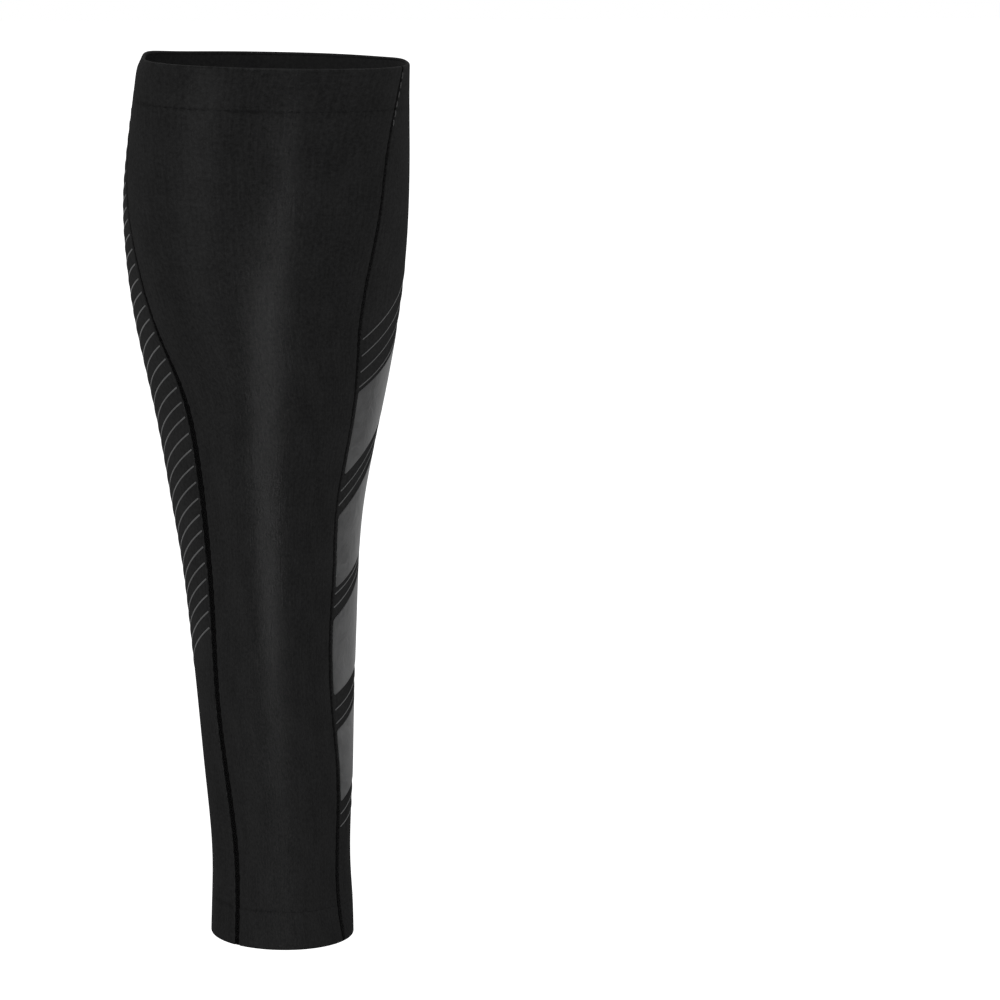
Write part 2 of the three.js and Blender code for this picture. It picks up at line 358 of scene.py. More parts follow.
def near_rim(share):
    """1 along the sleeve, falling to RIM_SINK at its ends, where the seams lie nearly flush."""
    from_rim = np.minimum(share, 1 - share) * LENGTH
    return np.interp(from_rim, (RIM_SINK_FROM, RIM_SINK_TO), (RIM_SINK, 1.0))


def panel(name, sides, angle_at, columns, width_at_calf, material):
    """A panel of cloth from one seam to the other, its long edges rolled down to the seams."""
    rows = folded_rows(ROW_STEP)
    # Closer rows at the two lines of hem stitches
    extra = [(stitch_at + step / LENGTH, 0.0, 0.0)
             for stitch_at in (TOP_STITCH_AT, BOTTOM_STITCH_AT)
             for step in ROWS_AT_STITCHES]
    lying = rows[:, 1] == 0
    body = np.unique(np.round(np.concatenate([rows[lying], extra]), 6), axis=0)
    first, last = np.flatnonzero(lying)[[0, -1]]
    rows = np.concatenate([rows[:first], body, rows[last + 1:]])
    # Closer columns at both edges, where the cloth rolls and puckers
    even = np.linspace(0, 1, columns)
    shares = even - EDGE_CROWDING * np.sin(2 * np.pi * even)
    first_edge = EDGE_COLUMNS * EDGE_ROLL / width_at_calf
    clear = first_edge[-1] * EDGE_CLEAR
    inner = shares[(shares > clear) & (shares < 1 - clear)]
    shares = np.concatenate([first_edge, inner, 1 - first_edge[::-1]])
    grid = []
    weave_and_painted_shade = []
    for face in (0, 1):
        for row in rows:
            angle = angle_at(shares, row[0])
            width = np.radians(angle[-1] - angle[0]) * mean_radius(row[0])
            from_edge = np.minimum(shares, 1 - shares) * width
            rolled = np.clip(1 - from_edge / EDGE_ROLL, 0, 1)
            slots = np.where(shares < 0.5, half_slot(sides[0], row[0]), half_slot(sides[1], row[0]))
            sink = EDGE_SINK * np.clip(slots, 0, 1) * near_rim(row[0])
            sunk = sink * (1 - np.sqrt(1 - rolled ** 2 * EDGE_ROUND))
            # The relief fades out as the cloth turns in over the rim
            fade = np.cos(np.radians(min(row[1], 90)))
            sunk = sunk - relief(angle, np.full_like(angle, row[0])) * fade
            grid.append(folded_point(angle, row, sunk, face))
            weave_and_painted_shade.append(np.stack([shares * width_at_calf, np.full_like(shares, row[0] * LENGTH),
                                   painted_stitch_shade(angle, row[0]) * (1 - face)], axis=-1))
    faces = sheet_faces(len(rows), len(shares))
    return make_mesh(name, np.array(grid), faces, material, np.array(weave_and_painted_shade))


def front_angle(share_round, share):
    left, right = section(share)[5:]
    first = left + arc_angle(half_slot("left", share), share)
    last = right - arc_angle(half_slot("right", share), share)
    return first + (last - first) * share_round


class Finish:
    """A node material: nodes are added by type, sockets are set or linked by name."""

    def __init__(self, name):
        self.material = bpy.data.materials.new(name)
        self.material.use_nodes = True
        self.tree = self.material.node_tree
        self.shader = self.tree.nodes["Principled BSDF"]

    def node(self, kind, **sockets):
        made = self.tree.nodes.new(kind)
        for name, value in sockets.items():
            if hasattr(made, name):
                setattr(made, name, value)
                continue
            self.put(made, name.replace("_", " "), value)
        return made

    def put(self, node, socket, value):
        target = node.inputs[socket]
        if isinstance(value, bpy.types.NodeSocket):
            self.tree.links.new(value, target)
        else:
            target.default_value = value

    def maths(self, operation, *values):
        made = self.tree.nodes.new("ShaderNodeMath")
        made.operation = operation
        for socket, value in zip(made.inputs, values):
            if isinstance(value, bpy.types.NodeSocket):
                self.tree.links.new(value, socket)
            else:
                socket.default_value = value
        return made.outputs[0]

    def remap(self, value, low, high, to_low=0.0, to_high=1.0):
        """value from low to high becomes a value from to_low to to_high."""
        made = self.node("ShaderNodeMapRange", Value=value)
        limits = {"From Min": low, "From Max": high, "To Min": to_low, "To Max": to_high}
        for socket, limit in limits.items():
            made.inputs[socket].default_value = limit
        return made.outputs["Result"]

    def shade(self, factor, dark, light):
        """A colour between the greys dark and light, as factor goes from 0 to 1."""
        made = self.node("ShaderNodeMix", data_type="RGBA")
        self.tree.links.new(factor, made.inputs["Factor"])
        made.inputs[6].default_value = dark
        made.inputs[7].default_value = light
        return made.outputs[2]

    def set(self, **sockets):
        for name, value in sockets.items():
            self.put(self.shader, name.replace("_", " "), value)


# How much the knit's loops, ribs, patches, painted stitch shade and painted lighter ankle end weigh
# in its tone
LOOP_TONE, RIB_TONE, PATCH_TONE, PAINTED_SHADE_TONE, PAINTED_LIFT_TONE = 2.6, 0.9, 0.8, 0.8, 0.7
DARK_TONE = 1.65
RIB_HEIGHT = 1.3
# Millimetres up the sleeve between which the knit's gloss comes back from dull and its painted
# lightening fades out
DULL_BELOW, DULL_UP_TO = 35.0, 125.0
ROUGHEST = 0.95


def knit_finish(name, dark, light, loop_height, roughness, gloss=0.35):
    """Black knit: uneven upright ribs, the fine mottling of its loops and a soft gloss."""
    knit = Finish(name)
    place = knit.node("ShaderNodeAttribute", attribute_name="weave_and_painted_shade").outputs["Vector"]
    split = knit.node("ShaderNodeSeparateXYZ", Vector=place)
    mottle = knit.node("ShaderNodeTexNoise", Vector=place, Scale=0.62, Detail=3.0,
                       Roughness=0.8).outputs["Fac"]
    drawn_up = knit.node("ShaderNodeVectorMath", operation="MULTIPLY")
    knit.tree.links.new(place, drawn_up.inputs[0])
    drawn_up.inputs[1].default_value = (1.0, 0.06, 1.0)
    ribs = knit.node("ShaderNodeTexNoise", Vector=drawn_up.outputs[0], Scale=0.85, Detail=2.0,
                     Roughness=0.6).outputs["Fac"]
    # The ribs come and go in patches
    patch = knit.node("ShaderNodeTexNoise", Vector=place, Scale=0.06, Detail=2.0).outputs["Fac"]
    rib_relief = knit.maths("MULTIPLY", ribs, knit.remap(patch, 0.38, 0.62))
    height = knit.maths("ADD", mottle, knit.maths("MULTIPLY", rib_relief, RIB_HEIGHT))
    bump = knit.node("ShaderNodeBump", Strength=1.0, Distance=loop_height * MM, Height=height)
    tone = knit.maths("ADD", knit.maths("MULTIPLY", mottle, LOOP_TONE),
                      knit.maths("MULTIPLY", ribs, RIB_TONE))
    tone = knit.maths("ADD", tone, knit.maths("MULTIPLY", patch, PATCH_TONE))
    # Shade is painted into the colour along the hems' stitches
    tone = knit.maths("SUBTRACT", tone, knit.maths("MULTIPLY", split.outputs["Z"], PAINTED_SHADE_TONE))
    # Near the ankle the cloth is stretched less and duller, and its colour is painted a little
    # lighter there, as painted light
    dull_and_painted_lift = knit.remap(split.outputs["Y"], DULL_BELOW, DULL_UP_TO, 0.25, 0.0)
    # The painted light: a lighter colour towards the ankle
    tone = knit.maths("ADD", tone, knit.maths("MULTIPLY", dull_and_painted_lift, PAINTED_LIFT_TONE))
    colour = knit.shade(knit.maths("SUBTRACT", tone, DARK_TONE), dark, light)
    # The knit's loops hide each other when it is seen edge-on, so its gloss is lost there
    facing = knit.node("ShaderNodeLayerWeight", Blend=0.5).outputs["Facing"]
    edge_rough = knit.maths("ADD", roughness, knit.maths("MULTIPLY", facing, ROUGHEST - roughness))
    edge_rough = knit.maths("MINIMUM", knit.maths("ADD", edge_rough, dull_and_painted_lift), ROUGHEST)
    knit.set(Base_Color=colour, Roughness=edge_rough, Normal=bump.outputs[0],
             Specular_IOR_Level=gloss)
    return knit.material


knit_cloth = knit_finish("black_knit", (0.0125, 0.0125, 0.0127, 1), (0.0355, 0.0355, 0.036, 1),
                         loop_height=0.05, roughness=0.27, gloss=0.2)

front_panel = panel("front_panel_cloth", ("left", "right"), front_angle, columns=84,
                    width_at_calf=126.0, material=knit_cloth)
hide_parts("front_panel")
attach(front_panel, "root")


# Back panel
# The larger piece of the same knit, which wraps the calf from the right seam round to the left
# one. It carries the bonded films and lines, and is cut wider at the top for the calf.
def back_angle(share_round, share):
    left, right = section(share)[5:]
    first = right + arc_angle(half_slot("right", share), share)
    last = left + 360 - arc_angle(half_slot("left", share), share)
    return first + (last - first) * share_round


back_panel = panel("back_panel_cloth", ("right", "left"), back_angle, columns=172,
                   width_at_calf=240.0, material=knit_cloth)
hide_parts("back_panel")
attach(back_panel, "root")


# Flat seams
# The two panels are butted edge to edge over a narrow band and overstitched with black thread:
# two rows of needle stitches and a looper thread that zigzags between them, drawn in below the
# cloth. A few longer stitches stand out at the knee end of the right seam, their thread painted
# grey as a painted highlight for the glint they catch.
BAND_GAP = 0.04
BAND_SUNK = {"left": 0.6, "right": 0.22}
BAND_DOME, BAND_DIMPLE = 0.1, 0.07
BAND_LUMP, BAND_LUMP_LENGTH = 0.05, 7.3
BAND_ROW_STEP, BAND_COLUMNS = 0.73, 9
STITCH_PITCH = 2.2
FIRST_STITCH, LAST_STITCH_DEPTH = 2.4, 4.4
# How far the stitches wander from side to side, and radians a millimetre of that
STITCH_WANDER, STITCH_WANDER_RATE = 0.06, 1.7
NEEDLE_ROW = 0.62
THREAD_RADIUS = {"left": 0.12, "right": 0.2}
THREAD_SIDES = 6
THREAD_TIP = 0.12
THREAD_STANDS = 0.07

# A seam's threads: from offset, to offset, from and to along the stitch, and the thread's bow
STITCH_RUNS = [
    (-NEEDLE_ROW, -NEEDLE_ROW, 0.08, 0.86, 0.12),
    (NEEDLE_ROW, NEEDLE_ROW, 0.58, 1.36, 0.12),
    (-NEEDLE_ROW, NEEDLE_ROW, 0.02, 0.52, 0.1),
    (NEEDLE_ROW, -NEEDLE_ROW, 0.52, 1.02, 0.1),
]

KNEE_END_STITCHES, KNEE_END_FROM = 6, 0.934
KNEE_END_PITCH, KNEE_END_STITCH, KNEE_END_THREAD_RADIUS = 3.7, 2.8, 0.3
# Where they lie across the gap, how that changes from one to the next, and how far each slants
KNEE_END_ACROSS, KNEE_END_WANDER, KNEE_END_SLANT = 0.85, 0.15, 0.3
KNEE_END_WANDER_RATE = 2.3
KNEE_END_BOW, KNEE_END_SUNK = 0.16, 0.02


def thread_finish(name, dark, light):
    """Spun thread: fine plies and a soft gloss."""
    thread = Finish(name)
    place = thread.node("ShaderNodeTexCoord").outputs["Object"]
    plies = thread.node("ShaderNodeTexNoise", Vector=place, Scale=2600.0, Detail=3.0).outputs["Fac"]
    bump = thread.node("ShaderNodeBump", Strength=0.5, Distance=0.06 * MM, Height=plies)
    thread.set(Base_Color=thread.shade(plies, dark, light), Roughness=0.7, Normal=bump.outputs[0],
               Specular_IOR_Level=0.15)
    return thread.material


def threads(name, paths, out, radius, material):
    """Short threads as one mesh. paths and out are arrays of thread, point, xyz."""
    count, points = paths.shape[:2]
    tangent = np.gradient(paths, axis=1)
    tangent /= np.linalg.norm(tangent, axis=-1, keepdims=True)
    side = np.cross(tangent, out)
    side /= np.linalg.norm(side, axis=-1, keepdims=True)
    up = np.cross(side, tangent)
    # The tube narrows to a near point at both ends, where the thread dives into the cloth
    taper = np.ones(points)
    taper[0] = taper[-1] = THREAD_TIP
    turns = np.linspace(0, 2 * np.pi, THREAD_SIDES, endpoint=False)
    rings = (paths[:, :, None, :] + radius * taper[None, :, None, None]
             * (np.cos(turns)[None, None, :, None] * side[:, :, None, :]
                + np.sin(turns)[None, None, :, None] * up[:, :, None, :]))
    index = np.arange(count * points * THREAD_SIDES).reshape(count, points, THREAD_SIDES)
    following = np.roll(index, -1, axis=2)
    walls = np.stack([index[:, :-1], following[:, :-1], following[:, 1:], index[:, 1:]], axis=-1)
    faces = [walls.reshape(-1, 4)]
    # Each end is closed by two quads across its six points
    for end, order in ((0, (0, 5, 4, 3)), (0, (0, 3, 2, 1)), (-1, (0, 1, 2, 3)), (-1, (0, 3, 4, 5))):
        faces.append(index[:, end][:, list(order)])
    return make_mesh(name, rings, np.concatenate(faces), material)


def outward(angle):
    turn = np.radians(angle)
    return np.stack([np.sin(turn), -np.cos(turn), np.zeros_like(turn)], axis=-1)


def seam_angle(side, share):
    left, right = section(share)[5:]
    return left if side == "left" else right


def seam_band(side, material):
    """The band between the panels, domed between its edges and dimpled by its stitches."""
    rows = folded_rows(BAND_ROW_STEP)
    across = np.linspace(-1, 1, BAND_COLUMNS)
    grid = []
    weave_and_painted_shade = []
    for face in (0, 1):
        for row in rows:
            offsets = across * (half_slot(side, row[0]) - BAND_GAP)
            angle = seam_angle(side, row[0]) + arc_angle(offsets, row[0])
            dome = BAND_DOME * (1 - across ** 2)
            stitch_turn = 2 * math.pi * row[0] * LENGTH / STITCH_PITCH
            dimple = BAND_DIMPLE * math.cos(stitch_turn) * (1 - np.abs(across))
            lumps = BAND_LUMP * math.sin(row[0] * LENGTH / BAND_LUMP_LENGTH) * offsets
            sunk = BAND_SUNK[side] * near_rim(row[0]) - dome - dimple + lumps
            grid.append(folded_point(angle, row, sunk, face))
            weave_and_painted_shade.append(np.stack([offsets, np.full_like(offsets, row[0] * LENGTH),
                                   np.zeros_like(offsets)], axis=-1))
    faces = sheet_faces(len(rows), len(across))
    return make_mesh(f"{side}_seam_band", np.array(grid), faces, material, np.array(weave_and_painted_shade))


def seam_stitches(side, material):
    """The seam's threads: a needle row at each edge and a zigzag between them."""
    starts = np.arange(FIRST_STITCH, LENGTH - LAST_STITCH_DEPTH, STITCH_PITCH)
    step = np.linspace(0, 1, 6)
    paths = []
    angles = []
    for first, last, low, high, bow in STITCH_RUNS:
        share = (starts[:, None] + STITCH_PITCH * (low + (high - low) * step)) / LENGTH
        offset = (first + (last - first) * step[None, :]) * half_slot(side, share)
        offset = offset + STITCH_WANDER * np.sin(starts * STITCH_WANDER_RATE)[:, None]
        angle = seam_angle(side, share) + arc_angle(offset, share)
        outset = -BAND_SUNK[side] * near_rim(share) + THREAD_STANDS + bow * np.sin(np.pi * step)
        paths.append(worn_point(angle, share, outset))
        angles.append(angle)
    return threads(f"{side}_seam_stitches", np.concatenate(paths), outward(np.concatenate(angles)),
                   THREAD_RADIUS[side], material)


def knee_end_stitches(material):
    """The longer stitches that stand out along the right seam at its knee end, their thread painted
    grey as a painted highlight.
    """
    starts = KNEE_END_FROM * LENGTH + KNEE_END_PITCH * np.arange(KNEE_END_STITCHES)
    step = np.linspace(0, 1, 8)
    share = (starts[:, None] + KNEE_END_STITCH * step) / LENGTH
    wander = KNEE_END_WANDER * np.sin(starts * KNEE_END_WANDER_RATE)[:, None]
    across = KNEE_END_ACROSS + wander - KNEE_END_SLANT * step
    angle = seam_angle("right", share) + arc_angle(across * half_slot("right", share), share)
    outset = KNEE_END_BOW * np.sin(np.pi * step) - KNEE_END_SUNK
    return threads("right_seam_knee_end_stitches", worn_point(angle, share, outset), outward(angle),
                   KNEE_END_THREAD_RADIUS, material)


# The left seam is pulled deeper, so its band and threads look blacker than the right one's. Both
# bands' colours are painted far darker than the cloth, as shade in the seams' channels, the left one
# darkest as painted shade of its deeper channel.
seam_knits_painted_shade = {
    "left": knit_finish("black_left_band_painted_shade", (0.0015, 0.0015, 0.0016, 1), (0.0035, 0.0035, 0.0036, 1),
                        loop_height=0.05, roughness=0.85, gloss=0.08),
    "right": knit_finish("black_right_band_painted_shade", (0.004, 0.004, 0.0041, 1), (0.009, 0.009, 0.0092, 1),
                         loop_height=0.05, roughness=0.85, gloss=0.08),
}
black_thread = thread_finish("black_thread", (0.006, 0.006, 0.0062, 1), (0.022, 0.022, 0.0224, 1))
# Grey thread: a painted highlight for the glint on the knee end's raised stitches
glint_painted_thread = thread_finish("black_thread_painted_glint", (0.1, 0.1, 0.101, 1), (0.18, 0.18, 0.182, 1))

for side in ("left", "right"):
    band = seam_band(side, seam_knits_painted_shade[side])
    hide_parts(f"{side}_seam")
    stitches = seam_stitches(side, black_thread)
    made = [band, stitches]
    if side == "right":
        made.append(knee_end_stitches(glint_painted_thread))
    for piece in made:
        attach(piece, "root")


# Hems
# Behind each folded rim the cloth's turned-in end lies flat against the inside of the tube, and
# one row of black stitches holds it down. The row shows as a fine puckered line on the outside, with
# shade painted into the knit's colour along it.
# Where the layer's outer face lies, its thickness, and its distance from the fold's end
HEM_OUTSET, HEM_CLOTH, HEM_GAP = -0.95, 0.75, 0.03
HEM_PAST_STITCHES = 0.7
HEM_CLEAR_OF_SEAM = 1.9
HEM_STITCH, HEM_STITCH_PITCH = 2.3, 3.1
HEM_THREAD_RADIUS = 0.09
HEM_STITCH_WANDER, HEM_STITCH_BOW, HEM_STITCH_SUNK = 0.15, 0.08, 0.05
HEM_COLUMNS = 200
# How much of the layer's thickness its free edge loses, and over what share of its depth
HEM_EDGE_LOSS, HEM_EDGE_ROUND = 0.42, 0.05
# The free edge waves this much, so many times round the leg, and the waves lean over
HEM_WAVE, HEM_WAVES, HEM_WAVE_LEAN = 0.06, 23, 3
# Radius at which the layer's knit is laid out
HEM_KNIT_RADIUS = 58


def hem_ring(name, low, high, free_end, material):
    """The turned-in layer. free_end says which edge is rounded off: 0 the low one, 1 the high."""
    round_leg = np.linspace(0, 360, HEM_COLUMNS, endpoint=False)
    steps = np.concatenate([[0, 0.004, 0.02, 0.05], np.linspace(0.1, 0.9, 10),
                            [0.95, 0.98, 0.996, 1]])
    grid = []
    weave_and_painted_shade = []
    for face in (0, 1):
        for step in steps:
            share = low + (high - low) * step
            from_free = abs(step - free_end)
            thin = HEM_EDGE_LOSS * (1 - min(1, from_free / HEM_EDGE_ROUND)) ** 2 * HEM_CLOTH
            turns = np.radians(round_leg) * HEM_WAVES + step * HEM_WAVE_LEAN
            wave = HEM_WAVE * (1 - from_free) * np.sin(turns)
            outset = HEM_OUTSET - thin if face == 0 else HEM_OUTSET - HEM_CLOTH + thin + wave
            grid.append(worn_point(round_leg, share, outset))
            weave_and_painted_shade.append(np.stack([np.radians(round_leg) * HEM_KNIT_RADIUS,
                                   np.full(HEM_COLUMNS, share * LENGTH),
                                   np.zeros(HEM_COLUMNS)], axis=-1))
    faces = sheet_faces(len(steps), HEM_COLUMNS, looped=True)
    return make_mesh(name, np.array(grid), faces, material, np.array(weave_and_painted_shade))


def hem_stitches(name, share, depth, material):
    """A row of stitches all round, at a depth below the cloth's face."""
    girth = 2 * math.pi * mean_radius(share)
    count = int(girth / HEM_STITCH_PITCH)
    starts = np.arange(count) * 360 / count
    step = np.linspace(0, 1, 6)
    angle = starts[:, None] + arc_angle(HEM_STITCH, share) * step[None, :]
    to_left, to_right = seam_distances(angle, share)
    clear = np.minimum(to_left, to_right).min(axis=1) > HEM_CLEAR_OF_SEAM
    angle = angle[clear]
    wander = HEM_STITCH_WANDER * np.sin(starts[clear])[:, None] / LENGTH
    share_at = np.full(angle.shape, share) + wander
    bow = HEM_STITCH_BOW * np.sin(np.pi * step)[None, :]
    if depth == 0:
        outset = relief(angle, share_at) + bow - HEM_STITCH_SUNK
    else:
        outset = -depth - bow + HEM_STITCH_SUNK
    paths = worn_point(angle, share_at, outset)
    return threads(name, paths, outward(angle), HEM_THREAD_RADIUS, material)


# The turned-in layer is the same knit, painted lighter than the outside as painted light for the
# light that reaches the inside of the tube
hem_knit_painted_lighter = knit_finish("black_hem_knit_painted_light", (0.038, 0.038, 0.0385, 1), (0.066, 0.066, 0.0668, 1),
                        loop_height=0.06, roughness=0.6)
fold_end = (FOLD_RADIUS + FOLD_TAIL + HEM_GAP) / LENGTH
hem_edge = HEM_PAST_STITCHES / LENGTH
for name, low, high, free_end, stitch_at in (
        ("top_hem", TOP_STITCH_AT - hem_edge, 1 - fold_end, 0, TOP_STITCH_AT),
        ("bottom_hem", fold_end, BOTTOM_STITCH_AT + hem_edge, 1, BOTTOM_STITCH_AT)):
    ring = hem_ring(f"{name}_layer", low, high, free_end, hem_knit_painted_lighter)
    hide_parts(name)
    outer = hem_stitches(f"{name}_outer_stitches", stitch_at, 0, black_thread)
    inner = hem_stitches(f"{name}_inner_stitches", stitch_at, -HEM_OUTSET + HEM_CLOTH, black_thread)
    for piece in (ring, outer, inner):
        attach(piece, "root")


# Films
# Four strips of thin grey polyurethane film, cut with small round corners and heat-bonded to the
# back panel. Each starts beside the right seam and climbs round the back of the leg.
# Thickness, and how far its underside lies off the cloth
FILM_THICKNESS, FILM_BASE = 0.17, 0.03
# Distance from the seam's middle, degrees round the leg, and radius of the corners
FILM_FROM_SEAM, FILM_TURN, FILM_CORNER = 1.45, 86.9, 1.3
# The film's edge is pressed thin over this width, down to this share of its thickness
FILM_EDGE, FILM_EDGE_THIN = 0.35, 0.35
FILM_ROWS, FILM_COLUMNS = 46, 96
# How much the clouds and the grain weigh in the film's tone, and the grain in its relief
CLOUD_TONE, GRAIN_TONE, FILM_DARK_TONE = 1.7, 0.3, 0.5
GRAIN_HEIGHT = 0.05

# name, low and high start as shares of the length, and their climbs
FILMS = [
    ("film_patch_1", 0.540, 0.635, 0.67, 0.50),
    ("film_patch_2", 0.4115, 0.493, 0.45, 0.76),
    ("film_patch_3", 0.288, 0.375, 0.38, 0.62),
    ("film_patch_4", 0.1625, 0.2465, 0.38, 0.43),
]


def film_finish(name, dark, light, roughness, wrinkles):
    """Satin grey film: very fine grain, slow cloudiness and soft wrinkles."""
    film = Finish(name)
    place = film.node("ShaderNodeTexCoord").outputs["Object"]
    cloud = film.node("ShaderNodeTexNoise", Vector=place, Scale=95.0, Detail=4.0,
                      Roughness=0.6).outputs["Fac"]
    grain = film.node("ShaderNodeTexNoise", Vector=place, Scale=1500.0, Detail=2.0).outputs["Fac"]
    tone = film.maths("ADD", film.maths("MULTIPLY", cloud, CLOUD_TONE),
                      film.maths("MULTIPLY", grain, GRAIN_TONE))
    colour = film.shade(film.maths("SUBTRACT", tone, FILM_DARK_TONE), dark, light)
    wrinkle = film.node("ShaderNodeTexNoise", Vector=place, Scale=170.0, Detail=3.0, Distortion=0.8)
    height = film.maths("ADD", wrinkle.outputs["Fac"], film.maths("MULTIPLY", grain, GRAIN_HEIGHT))
    bump = film.node("ShaderNodeBump", Strength=1.0, Distance=wrinkles * MM, Height=height)
    film.set(Base_Color=colour, Roughness=roughness, Normal=bump.outputs[0],
             Specular_IOR_Level=0.5)
    return film.material


def film_patch(name, low, high, low_climb, high_climb, material):
    """One film, lying on the cloth's own relief."""
    height = (high - low) * LENGTH
    ups = np.concatenate([[0, 0.004, 0.012], np.linspace(0.025, 0.975, FILM_ROWS),
                          [0.988, 0.996, 1]])
    evens = np.concatenate([[0, 0.0015, 0.005], np.linspace(0.012, 0.988, FILM_COLUMNS),
                            [0.995, 0.9985, 1]])
    grid = []
    for face in (0, 1):
        for up in ups:
            start = low + (high - low) * up
            climb = low_climb + (high_climb - low_climb) * up
            length = np.radians(FILM_TURN) * mean_radius(start)
            to_edge = min(up, 1 - up) * height
            into = max(0.0, FILM_CORNER - to_edge)
            indent = (FILM_CORNER - math.sqrt(FILM_CORNER ** 2 - into ** 2)) / length
            along = indent + (1 - 2 * indent) * evens
            turned = arc_angle(FILM_FROM_SEAM, start) + along * FILM_TURN
            rise = climb * mean_radius(start) * np.radians(turned)
            angle = section(start)[6] + turned
            share = start + rise / LENGTH
            inside = np.minimum(np.minimum(evens, 1 - evens) * length, to_edge)
            edge = np.clip(inside / FILM_EDGE, 0, 1)
            rounded = np.sqrt(1 - (1 - edge) ** 2)
            thickness = FILM_THICKNESS * (FILM_EDGE_THIN + (1 - FILM_EDGE_THIN) * rounded)
            outset = relief(angle, share) + FILM_BASE + (thickness if face == 0 else 0)
            grid.append(worn_point(angle, share, outset))
    return make_mesh(name + "_film", np.array(grid), sheet_faces(len(ups), len(evens)), material)


grey_film = film_finish("grey_film", (0.1, 0.1005, 0.102, 1), (0.185, 0.186, 0.188, 1),
                        roughness=0.3, wrinkles=0.3)
for row in FILMS:
    film = film_patch(*row, grey_film)
    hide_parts(row[0])
    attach(film, "root")


# Fine lines
# Narrow raised lines of the same grey, bonded across the back panel one above the other between
# the films. They run from the right seam round the calf to the left seam, and where a film
# lies in a line's way the line begins at the film's far end.
LINE_COUNT = 37
LINE_WIDTH, LINE_HEIGHT, LINE_SUNK = 0.62, 0.2, 0.04
# Degrees round the leg, and the line's width there as a share of LINE_WIDTH
LINE_WIDENS = ([120, 250], [0.95, 1.15])
# How far the lines stop from the left seam's middle, and begin from a film's far end
LINE_TO_LEFT, LINE_FROM_FILM = 2.0, 1.4
# Between these degrees a line turns from its course at the right into its course at the left
BLEND_FROM, BLEND_TO = 130.0, 262.0
LINE_STEP, LINE_END = 1.6, 0.3
# Half-round section: offset across the line, and height
LINE_PROFILE = [(-1, 0), (-0.8, 0.62), (-0.3, 1), (0.3, 1), (0.8, 0.62), (1, 0)]

# Where some of the lines start at the right seam, how steeply, and how far from the seam. The
# others come between. Lines 2 to 7, 10 to 15, 18 to 23 and 26 to 32 meet a film there.
RIGHT_STARTS = np.array([
    # line, share, climb, millimetres
    [0, 0.1336, 0.31, 1.7], [1, 0.148, 0.37, 1.7], [8, 0.2547, 0.43, 1.7], [9, 0.2708, 0.41, 1.7],
    [10, 0.2965, 0.43, 1.7], [16, 0.3892, 0.552, 1.3], [17, 0.4044, 0.477, 1.3],
    [24, 0.5061, 0.765, 0.95], [25, 0.5222, 0.735, 0.95], [26, 0.548, 0.665, 1.7],
    [33, 0.6403, 0.50, 1.7], [34, 0.6572, 0.545, 1.7], [35, 0.6756, 0.55, 1.7],
    [36, 0.6944, 0.58, 1.7],
])
# Where some of them end at the left seam: line, share
LEFT_ENDS = np.array([
    [0, 0.3697], [4, 0.4447], [13, 0.6103], [16, 0.6589], [23, 0.76], [27, 0.8242], [36, 0.945],
])
# How steeply they arrive there: share, climb
LEFT_CLIMBS = np.array([
    [0.35, 0.66], [0.47, 0.68], [0.60, 0.63], [0.70, 0.55], [0.76, 0.44], [0.96, 0.40],
])


def line_path(number):
    """Angles and shares along one line, from where it starts to the left seam."""
    start, climb, from_seam = (np.interp(number, RIGHT_STARTS[:, 0], RIGHT_STARTS[:, column])
                               for column in (1, 2, 3))
    end = np.interp(number, LEFT_ENDS[:, 0], LEFT_ENDS[:, 1])
    end_climb = np.interp(end, LEFT_CLIMBS[:, 0], LEFT_CLIMBS[:, 1])
    right = section(start)[6]
    left = section(end)[5] + 360
    # A little past both seams, cut to length below
    angle = np.linspace(right - 10, left + 10, 1200)
    from_right = start + climb * mean_radius(start) * np.radians(angle - right) / LENGTH
    from_left = end - end_climb * mean_radius(end) * np.radians(left - angle) / LENGTH
    blend = np.clip((angle - BLEND_FROM) / (BLEND_TO - BLEND_FROM), 0, 1)
    blend = blend ** 2 * (3 - 2 * blend)
    share = from_right + (from_left - from_right) * blend
    per_degree = np.radians(1) * mean_radius(share)
    lefts, rights = section(share)[5:]
    keep = (angle - rights) * per_degree >= from_seam
    keep &= (lefts + 360 - angle) * per_degree >= LINE_TO_LEFT
    for _, low, high, _, _ in FILMS:
        if low < start < high:
            film_end = right + arc_angle(FILM_FROM_SEAM + LINE_FROM_FILM, start) + FILM_TURN
            keep &= angle >= film_end
    return angle[keep], share[keep]


